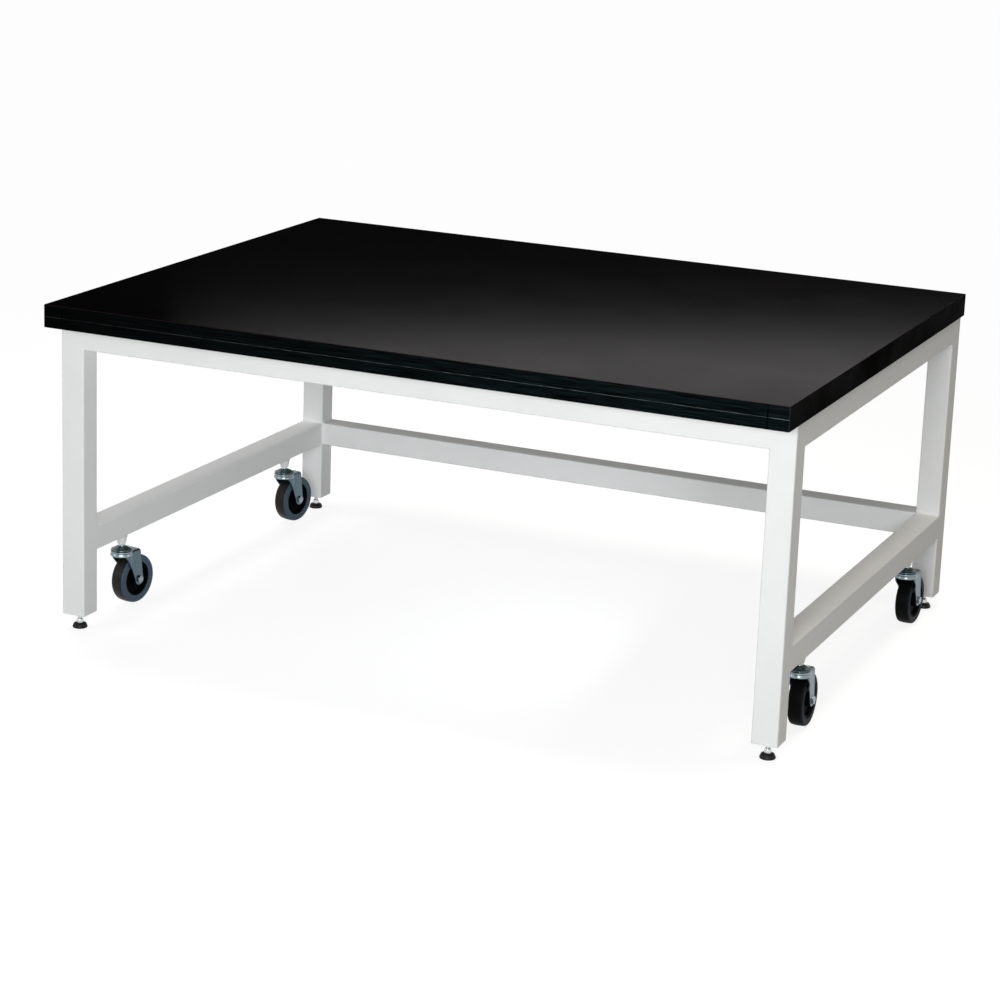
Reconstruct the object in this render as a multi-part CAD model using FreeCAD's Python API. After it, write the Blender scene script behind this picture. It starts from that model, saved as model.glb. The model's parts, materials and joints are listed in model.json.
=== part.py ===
import FreeCAD, Part
import math
import os

# Low stand for a bench-top analytical instrument: a doubled black board top on a
# welded square-tube frame, with four swivel casters and four levelling feet.
# Millimetres. +X runs along the long side, +Y to the back, +Z up, and the floor is z = 0.

# Whole stand
top_width = 1200.0
top_depth = 900.0
leg_length = 474.0
leg_end_height = 25.0
frame_side_inset = 2.0
frame_front_inset = 45.0
frame_back_inset = 12.0

# Top: two boards glued face to face, side strips at both ends, edging and a laminate sheet
lower_board_thickness = 17.0
upper_board_thickness = 18.0
sheet_thickness = 1.0
sheet_edge_bevel = 0.6
side_strip_width = 32.0
edging_thickness = 1.0

# Welded square tube
tube_size = 40.0
tube_wall = 2.0
tube_corner_radius = 2.5
lower_rail_height = 127.0

# Screws that hold the top, driven up through the upper rails
screw_shank_radius = 2.5
screw_head_radius = 4.75
screw_head_height = 3.2
screw_head_face_share = 0.8
screw_length = 28.0
screw_hole_clearance = 0.3
screw_pilot_clearance = 0.08
screw_access_radius = 6.5
screws_per_long_rail = 4
screws_per_side_rail = 2
long_rail_screw_margin = 90.0
side_rail_screw_margin = 150.0

# Levelling feet
foot_pad_radius = 11.7
foot_pad_rim_radius = 11.0
foot_pad_rim_height = 4.5
foot_pad_bottom_chamfer = 0.8
foot_pad_height = 8.5
foot_pad_top_radius = 7.0
foot_socket_depth = 4.5
stud_radius = 3.0
stud_length = 50.0
stud_end_chamfer = 0.6
stud_collar_flats = 10.0
stud_collar_height = 7.5
stud_collar_cone_height = 3.5
stud_collar_top_radius = 3.9
stud_clearance = 0.08
hex_corner_chamfer = 0.9
end_plate_thickness = 4.0
end_plate_gap = 0.2
end_plate_corner_radius = 1.0
end_boss_radius = 6.0
end_boss_height = 10.0

# Caster position and mounting boss
caster_leg_distance = 125.0
caster_trail = 27.0
boss_flats = 17.0
boss_height = 20.0
boss_cone_height = 5.0
boss_cone_end_radius = 6.8
boss_neck_gap = 3.5
stem_radius = 5.0
stem_boss_clearance = 0.05
stem_top_gap = 2.0
stem_end_chamfer = 1.0

# Heading of each caster, turned to the right of straight back, as the stand was left
heading_front_left = 9.0
heading_back_left = 10.0
heading_front_right = -1.0
heading_back_right = 3.0

# Caster wheel: its radius is what the height of the lower rails leaves for it
wheel_floor_gap = 2.0
tyre_width = 23.0
tyre_shoulder_radius = 3.0
tyre_crown_drop = 0.7
tyre_depth = 12.1
tyre_seat_gap = 0.1
hub_rim_thickness = 3.0
hub_rim_width = 20.0
hub_web_thickness = 11.0
hub_boss_radius = 10.0
hub_side_clearance = 0.3
sleeve_radius = 6.0
sleeve_running_clearance = 0.06
axle_radius = 4.0
axle_fit_gap = 0.08
axle_head_flats = 13.0
axle_head_height = 5.0
axle_nut_height = 4.6
axle_end_length = 0.4

# Caster fork and swivel head
fork_inside_width = 26.2
fork_plate = 2.2
fork_bend_radius = 4.0
fork_wheel_gap = 5.8
fork_tip_radius = 9.5
fork_leg_front = 12.0
fork_leg_back = 31.0
fork_gusset_front = -6.0
fork_gusset_waist = 22.0
crown_radius = 18.5
crown_drop = 2.2
crown_edge_radius = 1.0
crown_wall = 2.2
crown_wall_height = 5.0
crown_groove_height = 1.0
crown_groove_depth = 0.5
crown_groove_rise = 0.4
kingpin_running_clearance = 0.08
kingpin_head_radius = 8.5
kingpin_head_height = 3.0
kingpin_head_gap = 0.3
cap_radius = 17.4
cap_thickness = 2.0
cap_rim_gap = 0.4
cap_edge_radius = 0.8
cap_race_depth = 1.6
cap_race_inner_radius = 9.5
cap_race_outer_radius = 15.6
cap_dome_radius = 11.5
cap_dome_top_radius = 6.6
cap_dome_height = 5.1
ball_play = 0.15
ball_track_radius = 12.6
balls_per_caster = 16

# Overrun of a cutting solid past the faces that it cuts
cut_over = 5.0

# Heights and places that follow from the sizes above
top_underside = leg_end_height + leg_length
board_joint = top_underside + lower_board_thickness
sheet_underside = board_joint + upper_board_thickness
half_width = top_width / 2
half_depth = top_depth / 2
frame_left = -half_width + frame_side_inset
frame_right = half_width - frame_side_inset
frame_front = -half_depth + frame_front_inset
frame_back = half_depth - frame_back_inset
rail_left_end = frame_left + tube_size
rail_right_end = frame_right - tube_size
rail_front_end = frame_front + tube_size
rail_back_end = frame_back - tube_size
upper_rail_underside = top_underside - tube_size
swivel_head_height = (fork_wheel_gap + fork_plate + crown_wall_height + cap_rim_gap
                      + cap_thickness + cap_dome_height + boss_neck_gap)
wheel_diameter = lower_rail_height - boss_height - swivel_head_height - wheel_floor_gap
wheel_radius = wheel_diameter / 2
hub_rim_radius = wheel_radius - tyre_depth
wheel_centre_height = wheel_floor_gap + wheel_radius
fork_plate_underside = wheel_centre_height + wheel_radius + fork_wheel_gap
fork_plate_top = fork_plate_underside + fork_plate
crown_bottom = fork_plate_underside - crown_drop
crown_wall_top = fork_plate_top + crown_wall_height
cap_underside = crown_wall_top + cap_rim_gap
cap_race_bottom = cap_underside - cap_race_depth
cap_top = cap_underside + cap_thickness
fork_outside = fork_inside_width / 2 + fork_plate

up = FreeCAD.Vector(0, 0, 1)
along_x = FreeCAD.Vector(1, 0, 0)
along_y = FreeCAD.Vector(0, 1, 0)
origin = FreeCAD.Vector(0, 0, 0)


def point(x, y, z):
    return FreeCAD.Vector(x, y, z)


def block(x0, x1, y0, y1, z0, z1):
    """A box between two opposite corners."""
    return Part.makeBox(x1 - x0, y1 - y0, z1 - z0, point(x0, y0, z0))


def cylinder(radius, x, y, z0, z1):
    """An upright cylinder from height z0 to z1."""
    return Part.makeCylinder(radius, z1 - z0, point(x, y, z0), up)


def lathe(outline):
    """A closed outline of (radius, height) points turned round the upright axis."""
    corners = [point(radius, 0, height) for radius, height in outline]
    wire = Part.makePolygon(corners + corners[:1])
    return Part.Face(wire).revolve(origin, up, 360)


def rounded_square(size, radius):
    """A square face with round corners, centred on the origin in the XY plane."""
    half = size / 2
    solid = block(-half, half, -half, half, 0, size)
    posts = [edge for edge in solid.Edges
             if abs(edge.Vertexes[0].Z - edge.Vertexes[1].Z) > half]
    rounded = solid.makeFillet(radius, posts)
    return min(rounded.Faces, key=lambda face: face.CenterOfMass.z)


def square_tube(length):
    """A square tube of the frame's section, standing on the origin along +Z."""
    outside = rounded_square(tube_size, tube_corner_radius).extrude(point(0, 0, length))
    bore_size = tube_size - 2 * tube_wall
    bore_radius = tube_corner_radius - tube_wall
    inside = rounded_square(bore_size, bore_radius).extrude(point(0, 0, length))
    return outside.cut(inside)


def hexagon(flats, height):
    """A hexagonal prism on the origin, with its corners chamfered at both ends."""
    corner = flats / math.sqrt(3)
    angles = [math.radians(60 * step) for step in range(6)]
    ring = [point(corner * math.cos(angle), corner * math.sin(angle), 0) for angle in angles]
    prism = Part.Face(Part.makePolygon(ring + ring[:1])).extrude(point(0, 0, height))
    inner = corner - hex_corner_chamfer
    drop = hex_corner_chamfer / math.sqrt(3)
    turned = lathe([(0, 0), (inner, 0), (corner, drop), (corner, height - drop),
                    (inner, height), (0, height)])
    return prism.common(turned)


def nut(flats, height, bore_radius):
    """A hexagonal nut standing on the origin."""
    hole = cylinder(bore_radius, 0, 0, -cut_over, height + cut_over)
    return hexagon(flats, height).cut(hole)


def placed(shape, x, y, z):
    copy = shape.copy()
    copy.translate(point(x, y, z))
    return copy


def save(name, shapes):
    """One STEP file for a node, of one solid or of a group of like solids."""
    solids = []
    for shape in shapes:
        solids.extend(shape.Solids)
    node = solids[0] if len(solids) == 1 else Part.makeCompound(solids)
    node.exportStep(os.path.join("parts", name + ".step"))
    volume = sum(solid.Volume for solid in solids)
    print(name, len(solids), round(volume, 1), all(solid.isValid() for solid in solids))


def corners():
    """The four corners of the stand: name, side, end, and leg centre."""
    left = frame_left + tube_size / 2
    right = frame_right - tube_size / 2
    front = frame_front + tube_size / 2
    back = frame_back - tube_size / 2
    return [("front_left", left, front, 1, heading_front_left),
            ("front_right", right, front, 1, heading_front_right),
            ("back_left", left, back, -1, heading_back_left),
            ("back_right", right, back, -1, heading_back_right)]


def screw_places():
    """Where the top's fixing screws pass through the four upper rails."""
    places = {}
    front = frame_front + tube_size / 2
    back = frame_back - tube_size / 2
    left = frame_left + tube_size / 2
    right = frame_right - tube_size / 2
    long_start = rail_left_end + long_rail_screw_margin
    long_step = (rail_right_end - long_rail_screw_margin - long_start) / (screws_per_long_rail - 1)
    side_start = rail_front_end + side_rail_screw_margin
    side_step = (rail_back_end - side_rail_screw_margin - side_start) / (screws_per_side_rail - 1)
    long_places = [long_start + step * long_step for step in range(screws_per_long_rail)]
    side_places = [side_start + step * side_step for step in range(screws_per_side_rail)]
    places["front"] = [(x, front) for x in long_places]
    places["back"] = [(x, back) for x in long_places]
    places["left"] = [(left, y) for y in side_places]
    places["right"] = [(right, y) for y in side_places]
    return places


def fixing_screw():
    """A pan-head wood screw, head down, with its head's bearing face at height zero."""
    point_length = 2 * screw_shank_radius
    return lathe([(0, -screw_head_height),
                  (screw_head_radius * screw_head_face_share, -screw_head_height),
                  (screw_head_radius, -screw_head_height / 2), (screw_head_radius, 0),
                  (screw_shank_radius, 0), (screw_shank_radius, screw_length - point_length),
                  (screw_pilot_clearance, screw_length), (0, screw_length)])


def drilled_board(x0, x1, y0, y1, z0, z1):
    """A board with a pilot hole wherever a fixing screw reaches it."""
    board = block(x0, x1, y0, y1, z0, z1)
    radius = screw_shank_radius + screw_pilot_clearance
    screw_top = top_underside - tube_wall + screw_length + screw_pilot_clearance
    for rail in screw_places().values():
        for x, y in rail:
            board = board.cut(cylinder(radius, x, y, top_underside - cut_over, screw_top))
    return board


def make_top():
    """The boards, their side strips and edging, and the laminate sheet over them."""
    strip_left = -half_width + side_strip_width
    strip_right = half_width - side_strip_width
    core_front = -half_depth + edging_thickness
    core_back = half_depth - edging_thickness
    save("lower_board", [drilled_board(strip_left, strip_right, core_front, core_back,
                                       top_underside, board_joint)])
    save("upper_board", [drilled_board(strip_left, strip_right, core_front, core_back,
                                       board_joint, sheet_underside)])
    for layer, z0, z1 in [("lower", top_underside, board_joint),
                          ("upper", board_joint, sheet_underside)]:
        save("left_strip_" + layer, [drilled_board(-half_width, strip_left, -half_depth,
                                                   half_depth, z0, z1)])
        save("right_strip_" + layer, [drilled_board(strip_right, half_width, -half_depth,
                                                    half_depth, z0, z1)])
        save("front_edging_" + layer, [block(strip_left, strip_right, -half_depth,
                                             core_front, z0, z1)])
    save("back_edging", [block(strip_left, strip_right, core_back, half_depth,
                               top_underside, sheet_underside)])
    sheet = block(-half_width, half_width, -half_depth, half_depth,
                  sheet_underside, sheet_underside + sheet_thickness)
    sheet_middle = sheet_underside + sheet_thickness / 2
    upper_edges = [edge for edge in sheet.Edges
                   if all(vertex.Z > sheet_middle for vertex in edge.Vertexes)]
    save("top_sheet", [sheet.makeChamfer(sheet_edge_bevel, upper_edges)])


def rail_between(x0, y0, z0, x1, y1):
    """A square tube whose lower corner line runs level from one leg to the next."""
    length = (x1 - x0) if x1 > x0 else (y1 - y0)
    tube = square_tube(length)
    if x1 > x0:
        tube.rotate(origin, along_y, 90)
        return placed(tube, x0, y0 + tube_size / 2, z0 + tube_size / 2)
    tube.rotate(origin, along_x, -90)
    return placed(tube, x0 + tube_size / 2, y0, z0 + tube_size / 2)


def drilled_rail(rail, places):
    """An upper rail with a clearance hole and a wider access hole for each screw."""
    for x, y in places:
        rail = rail.cut(cylinder(screw_shank_radius + screw_hole_clearance, x, y,
                                 upper_rail_underside + tube_size / 2, top_underside + cut_over))
        rail = rail.cut(cylinder(screw_access_radius, x, y, upper_rail_underside - cut_over,
                                 upper_rail_underside + tube_size / 2))
    return rail


def make_frame():
    """Legs, upper rails on four sides, and lower rails at the left, right and back."""
    for name, x, y, inward, heading in corners():
        save("leg_" + name, [placed(square_tube(leg_length), x, y, leg_end_height)])
    back_rail_front = frame_back - tube_size
    right_rail_left = frame_right - tube_size
    upper = {
        "front": rail_between(rail_left_end, frame_front, upper_rail_underside,
                              rail_right_end, frame_front),
        "back": rail_between(rail_left_end, back_rail_front, upper_rail_underside,
                             rail_right_end, back_rail_front),
        "left": rail_between(frame_left, rail_front_end, upper_rail_underside,
                             frame_left, rail_back_end),
        "right": rail_between(right_rail_left, rail_front_end, upper_rail_underside,
                              right_rail_left, rail_back_end),
    }
    places = screw_places()
    for side, rail in upper.items():
        save("upper_rail_" + side, [drilled_rail(rail, places[side])])
    save("lower_rail_left", [rail_between(frame_left, rail_front_end, lower_rail_height,
                                          frame_left, rail_back_end)])
    save("lower_rail_right", [rail_between(right_rail_left, rail_front_end, lower_rail_height,
                                           right_rail_left, rail_back_end)])
    save("lower_rail_back", [rail_between(rail_left_end, back_rail_front, lower_rail_height,
                                          rail_right_end, back_rail_front)])
    seat = top_underside - tube_wall
    screws = [placed(fixing_screw(), x, y, seat) for rail in places.values() for x, y in rail]
    save("top_fixing_screws", screws)


def leg_end_plate():
    """The plate welded into a leg's open end, with a threaded boss above it."""
    size = tube_size - 2 * tube_wall - 2 * end_plate_gap
    plate = rounded_square(size, end_plate_corner_radius).extrude(point(0, 0, end_plate_thickness))
    boss_top = end_plate_thickness + end_boss_height
    boss = cylinder(end_boss_radius, 0, 0, 0, boss_top)
    hole = cylinder(stud_radius + stud_clearance, 0, 0, -cut_over, boss_top + cut_over)
    return plate.fuse(boss).cut(hole).removeSplitter()


def foot_pad():
    """A rubber pad with a slightly flared rim, a domed top and a blind socket for the stud."""
    socket_radius = stud_radius + stud_clearance
    lines = [(0, 0), (foot_pad_radius - foot_pad_bottom_chamfer, 0),
             (foot_pad_radius, foot_pad_bottom_chamfer),
             (foot_pad_rim_radius, foot_pad_rim_height)]
    corners_out = [point(radius, 0, height) for radius, height in lines]
    dome_width = foot_pad_rim_radius - foot_pad_top_radius
    dome_height = foot_pad_height - foot_pad_rim_height
    dome_arc_radius = (dome_width ** 2 + dome_height ** 2) / (2 * dome_height)
    arc_centre_height = foot_pad_height - dome_arc_radius
    rim_angle = math.asin((foot_pad_rim_height - arc_centre_height) / dome_arc_radius)
    middle_angle = (rim_angle + math.pi / 2) / 2
    middle = point(foot_pad_top_radius + dome_arc_radius * math.cos(middle_angle), 0,
                   arc_centre_height + dome_arc_radius * math.sin(middle_angle))
    rim = corners_out[-1]
    crest = point(foot_pad_top_radius, 0, foot_pad_height)
    top_centre = point(0, 0, foot_pad_height)
    edges = [Part.LineSegment(a, b).toShape() for a, b in zip(corners_out, corners_out[1:])]
    edges.append(Part.Arc(rim, middle, crest).toShape())
    edges.append(Part.LineSegment(crest, top_centre).toShape())
    edges.append(Part.LineSegment(top_centre, corners_out[0]).toShape())
    pad = Part.Face(Part.Wire(edges)).revolve(origin, up, 360)
    socket_floor = foot_pad_height - foot_socket_depth
    return pad.cut(cylinder(socket_radius, 0, 0, socket_floor, foot_pad_height + cut_over))


def foot_stud():
    """A threaded stud whose hexagonal collar narrows to a cone at the top."""
    bottom = foot_pad_height - foot_socket_depth + stud_clearance
    collar_top = foot_pad_height + stud_collar_height
    top = collar_top + stud_length
    shank = lathe([(0, bottom), (stud_radius, bottom), (stud_radius, top - stud_end_chamfer),
                   (stud_radius - stud_end_chamfer, top), (0, top)])
    collar_corner = stud_collar_flats / math.sqrt(3)
    cone = lathe([(0, 0), (collar_corner, 0),
                  (collar_corner, stud_collar_height - stud_collar_cone_height),
                  (stud_collar_top_radius, stud_collar_height), (0, stud_collar_height)])
    collar = hexagon(stud_collar_flats, stud_collar_height).common(cone)
    return shank.fuse(placed(collar, 0, 0, foot_pad_height)).removeSplitter()


def make_feet():
    """Four levelling feet, each screwed up into the plate in its leg's end."""
    plates = []
    for name, x, y, inward, heading in corners():
        plates.append(placed(leg_end_plate(), x, y, leg_end_height))
        save("foot_pad_" + name, [placed(foot_pad(), x, y, 0)])
        save("foot_stud_" + name, [placed(foot_stud(), x, y, 0)])
    save("leg_end_plates", plates)


def caster_boss():
    """A tall threaded hexagonal boss welded under a side rail, its lower end a cone."""
    corner = boss_flats / math.sqrt(3)
    cone = lathe([(0, 0), (boss_cone_end_radius, 0), (corner, boss_cone_height),
                  (corner, boss_height), (0, boss_height)])
    boss = nut(boss_flats, boss_height, stem_radius + stem_boss_clearance).common(cone)
    return placed(boss, 0, 0, lower_rail_height - boss_height)


def caster_stem():
    """The threaded stem, which passes down through the cap and the fork to a riveted head."""
    head_top = crown_bottom - kingpin_head_gap
    head_bottom = head_top - kingpin_head_height
    top = lower_rail_height - stem_top_gap
    return lathe([(0, head_bottom), (kingpin_head_radius - stem_end_chamfer, head_bottom),
                  (kingpin_head_radius, head_bottom + stem_end_chamfer),
                  (kingpin_head_radius, head_top), (stem_radius, head_top),
                  (stem_radius, top - stem_end_chamfer), (stem_radius - stem_end_chamfer, top),
                  (0, top)])


def caster_cap():
    """The cap on the ball race: a cone round the stem, a flange, and a track underneath."""
    bore = stem_radius + stem_boss_clearance
    dome_top = cap_top + cap_dome_height
    return lathe([(bore, dome_top), (cap_dome_top_radius, dome_top), (cap_dome_radius, cap_top),
                  (cap_radius - cap_edge_radius, cap_top), (cap_radius, cap_top - cap_edge_radius),
                  (cap_radius, cap_underside), (cap_race_outer_radius, cap_underside),
                  (cap_race_outer_radius, cap_race_bottom),
                  (cap_race_inner_radius, cap_race_bottom), (cap_race_inner_radius, cap_underside),
                  (bore, cap_underside)])


def race_balls():
    """The ring of balls between the crown's floor and the cap."""
    room = cap_race_bottom - fork_plate_top
    radius = room / 2 - ball_play
    height = fork_plate_top + room / 2
    balls = []
    for step in range(balls_per_caster):
        angle = 2 * math.pi * step / balls_per_caster
        centre = point(ball_track_radius * math.cos(angle),
                       ball_track_radius * math.sin(angle), height)
        balls.append(Part.makeSphere(radius, centre))
    return balls


def fork_channel():
    """The fork's bent section, a plate with a leg turned down at each side, along +Y."""
    inner = fork_inside_width / 2
    outer_radius = fork_bend_radius
    inner_radius = fork_bend_radius - fork_plate
    low = wheel_centre_height - fork_tip_radius - cut_over
    high = fork_plate_top

    def arch(half, top, radius):
        corner = radius * (1 - math.cos(math.radians(45)))
        left_arc = Part.Arc(point(-half, 0, top - radius), point(-half + corner, 0, top - corner),
                            point(-half + radius, 0, top)).toShape()
        right_arc = Part.Arc(point(half - radius, 0, top), point(half - corner, 0, top - corner),
                             point(half, 0, top - radius)).toShape()
        crown = Part.LineSegment(point(-half + radius, 0, top), point(half - radius, 0, top)).toShape()
        right_side = Part.LineSegment(point(half, 0, top - radius), point(half, 0, low)).toShape()
        base = Part.LineSegment(point(half, 0, low), point(-half, 0, low)).toShape()
        left_side = Part.LineSegment(point(-half, 0, low), point(-half, 0, top - radius)).toShape()
        wire = Part.Wire([left_arc, crown, right_arc, right_side, base, left_side])
        length = 2 * (caster_trail + crown_radius + fork_tip_radius)
        solid = Part.Face(wire).extrude(point(0, length, 0))
        return placed(solid, 0, -length / 2, 0)

    return arch(fork_outside, high, outer_radius).cut(arch(inner, fork_plate_underside, inner_radius))


def fork_side():
    """The fork seen from the side: a plate, and a leg that narrows to a round tip."""
    axle_y = caster_trail
    axle_z = wheel_centre_height
    tip = fork_tip_radius
    front_waist = point(0, fork_leg_front, fork_plate_underside - fork_gusset_waist)
    gusset_end = point(0, fork_gusset_front, fork_plate_underside)
    gusset_middle = point(0, (fork_leg_front * 2 + fork_gusset_front) / 3,
                          fork_plate_underside - fork_gusset_waist / 3)
    front_top = point(0, fork_gusset_front, fork_plate_top)
    back_top = point(0, fork_leg_back, fork_plate_top)
    tip_back = point(0, axle_y + tip, axle_z)
    tip_low = point(0, axle_y, axle_z - tip)
    tip_front = point(0, axle_y - tip, axle_z)
    edges = [
        Part.LineSegment(front_top, back_top).toShape(),
        Part.LineSegment(back_top, tip_back).toShape(),
        Part.Arc(tip_back, tip_low, tip_front).toShape(),
        Part.LineSegment(tip_front, front_waist).toShape(),
        Part.Arc(front_waist, gusset_middle, gusset_end).toShape(),
        Part.LineSegment(gusset_end, front_top).toShape(),
    ]
    width = 2 * (fork_outside + cut_over)
    solid = Part.Face(Part.Wire(edges)).extrude(point(width, 0, 0))
    return placed(solid, -width / 2, 0, 0)


def fork_crown():
    """The round crown: a floor under the balls and a grooved wall round them."""
    groove_bottom = fork_plate_top + crown_groove_rise
    groove_top = groove_bottom + crown_groove_height
    groove_radius = crown_radius - crown_groove_depth
    inner = crown_radius - crown_wall
    return lathe([(0, crown_bottom), (crown_radius - crown_edge_radius, crown_bottom),
                  (crown_radius, crown_bottom + crown_edge_radius), (crown_radius, groove_bottom),
                  (groove_radius, groove_bottom), (groove_radius, groove_top),
                  (crown_radius, groove_top), (crown_radius, crown_wall_top),
                  (inner, crown_wall_top), (inner, fork_plate_top), (0, fork_plate_top)])


def caster_fork():
    """The pressed fork: its two legs, with the crown and ball race at the top."""
    legs = fork_channel().common(fork_side())
    fork = legs.fuse(fork_crown()).removeSplitter()
    kingpin_hole = cylinder(stem_radius + kingpin_running_clearance, 0, 0,
                            crown_bottom - cut_over, fork_plate_top + cut_over)
    fork = fork.cut(kingpin_hole)
    length = 2 * (fork_outside + cut_over)
    axle_hole = Part.makeCylinder(axle_radius + axle_fit_gap, length,
                                  point(-length / 2, caster_trail, wheel_centre_height), along_x)
    return fork.cut(axle_hole)


def on_axle(shape, x):
    """A piece turned round +Z, laid along the axle with its base at distance x."""
    piece = shape.copy()
    piece.rotate(origin, along_y, 90)
    return placed(piece, x, caster_trail, wheel_centre_height)


def axle_bolt():
    """The axle: a bolt with a hexagonal head on the left and its end past the nut."""
    shank_length = 2 * fork_outside + axle_nut_height + axle_end_length
    shank = lathe([(0, 0), (axle_radius, 0), (axle_radius, shank_length - axle_end_length),
                   (axle_radius - axle_end_length, shank_length), (0, shank_length)])
    head = placed(hexagon(axle_head_flats, axle_head_height), 0, 0, -axle_head_height)
    return on_axle(shank.fuse(head).removeSplitter(), -fork_outside)


def axle_nut():
    return on_axle(nut(axle_head_flats, axle_nut_height, axle_radius + axle_fit_gap), fork_outside)


def axle_sleeve():
    """The steel sleeve clamped between the fork's legs, on which the hub turns."""
    inside = axle_radius + axle_fit_gap
    return on_axle(lathe([(inside, 0), (sleeve_radius, 0), (sleeve_radius, fork_inside_width),
                          (inside, fork_inside_width)]), -fork_inside_width / 2)


def wheel_hub():
    """The moulded hub: bearing boss, recessed web and the rim that carries the tyre."""
    bore = sleeve_radius + sleeve_running_clearance
    boss_half = fork_inside_width / 2 - hub_side_clearance
    web_half = hub_web_thickness / 2
    rim_half = hub_rim_width / 2
    rim_inner = hub_rim_radius - hub_rim_thickness
    outline = [(bore, -boss_half), (hub_boss_radius, -boss_half), (hub_boss_radius, -web_half),
               (rim_inner, -web_half), (rim_inner, -rim_half), (hub_rim_radius, -rim_half),
               (hub_rim_radius, rim_half), (rim_inner, rim_half), (rim_inner, web_half),
               (hub_boss_radius, web_half), (hub_boss_radius, boss_half), (bore, boss_half)]
    return on_axle(lathe(outline), 0)


def wheel_tyre():
    """The rubber tyre: flat sides, round shoulders and a slightly crowned tread."""
    inner = hub_rim_radius + tyre_seat_gap
    half = tyre_width / 2
    shoulder = tyre_shoulder_radius
    edge_top = wheel_radius - tyre_crown_drop
    bevel = shoulder * (1 - math.cos(math.radians(45)))
    left_side = point(edge_top - shoulder, 0, -half)
    left_tread = point(edge_top, 0, -half + shoulder)
    right_tread = point(edge_top, 0, half - shoulder)
    right_side = point(edge_top - shoulder, 0, half)
    edges = [
        Part.LineSegment(point(inner, 0, -half), left_side).toShape(),
        Part.Arc(left_side, point(edge_top - bevel, 0, -half + bevel), left_tread).toShape(),
        Part.Arc(left_tread, point(wheel_radius, 0, 0), right_tread).toShape(),
        Part.Arc(right_tread, point(edge_top - bevel, 0, half - bevel), right_side).toShape(),
        Part.LineSegment(right_side, point(inner, 0, half)).toShape(),
        Part.LineSegment(point(inner, 0, half), point(inner, 0, -half)).toShape(),
    ]
    return on_axle(Part.Face(Part.Wire(edges)).revolve(origin, up, 360), 0)


def make_casters():
    """Four casters: fixed stem, cap and balls, and a fork and wheel turned to their headings."""
    stems = []
    caps = []
    balls = []
    bosses = []
    turning = {"fork_": caster_fork(), "axle_bolt_": axle_bolt(), "axle_nut_": axle_nut(),
               "axle_sleeve_": axle_sleeve(), "hub_": wheel_hub(), "tyre_": wheel_tyre()}
    for name, x, leg_y, inward, heading in corners():
        y = leg_y + inward * caster_leg_distance
        bosses.append(placed(caster_boss(), x, y, 0))
        stems.append(placed(caster_stem(), x, y, 0))
        caps.append(placed(caster_cap(), x, y, 0))
        balls.extend(placed(ball, x, y, 0) for ball in race_balls())
        for prefix, shape in turning.items():
            piece = shape.copy()
            piece.rotate(origin, up, -heading)
            save(prefix + name, [placed(piece, x, y, 0)])
    save("caster_bosses", bosses)
    save("caster_stems", stems)
    save("caster_caps", caps)
    save("caster_bearing_balls", balls)


os.makedirs("parts", exist_ok=True)
make_top()
make_frame()
make_feet()
make_casters()
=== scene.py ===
import json
import math

import bmesh
import bpy
import numpy as np
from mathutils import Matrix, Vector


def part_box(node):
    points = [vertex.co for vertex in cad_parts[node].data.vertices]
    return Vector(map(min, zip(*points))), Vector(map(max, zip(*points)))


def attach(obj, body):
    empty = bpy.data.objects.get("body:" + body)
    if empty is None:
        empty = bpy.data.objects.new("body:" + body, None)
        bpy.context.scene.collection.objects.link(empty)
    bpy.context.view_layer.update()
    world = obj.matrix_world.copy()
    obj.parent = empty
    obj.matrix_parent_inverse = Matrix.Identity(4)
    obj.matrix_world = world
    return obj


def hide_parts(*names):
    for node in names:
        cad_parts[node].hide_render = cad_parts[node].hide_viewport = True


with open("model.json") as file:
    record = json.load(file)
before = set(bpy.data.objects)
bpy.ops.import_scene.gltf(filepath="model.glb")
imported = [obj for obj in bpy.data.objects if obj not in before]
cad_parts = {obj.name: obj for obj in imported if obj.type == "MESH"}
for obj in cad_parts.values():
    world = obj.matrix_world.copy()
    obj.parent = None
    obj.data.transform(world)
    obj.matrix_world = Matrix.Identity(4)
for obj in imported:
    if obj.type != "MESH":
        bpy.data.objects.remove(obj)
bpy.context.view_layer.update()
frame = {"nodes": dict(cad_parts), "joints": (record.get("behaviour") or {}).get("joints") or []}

# Low stand for a bench-top instrument: a black board top on a welded square-tube frame, with four swivel
# casters and four levelling feet. Metres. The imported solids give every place; each section below
# dresses the pieces that they stand for, in the order in which the stand is put together.


# The welded frame: cold-drawn square steel tube, butted and welded without mitres, then powder coated in
# one thick pale grey-white film, which leaves a fine orange peel.
paint_colour = (0.800, 0.805, 0.800)
paint_shine = 0.22
cloud_size = 0.11
cloud_detail = 5
cloud_range = (0.3, 0.7)
grain_detail = 3
smooth_up_to = math.radians(32)
merge_distance = 2e-6
sliver_length = 1e-7


def add_node(tree, kind, inputs, **settings):
    """Adds a shader node to a tree. Settings are the node's own; each input takes a plain value, or the
    output of another node, which is linked to it."""
    made = tree.nodes.new("ShaderNode" + kind)
    for setting, value in settings.items():
        setattr(made, setting, value)
    for socket, value in inputs.items():
        if isinstance(value, bpy.types.NodeSocket):
            tree.links.new(value, made.inputs[socket])
        else:
            made.inputs[socket].default_value = value
    return made


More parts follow.
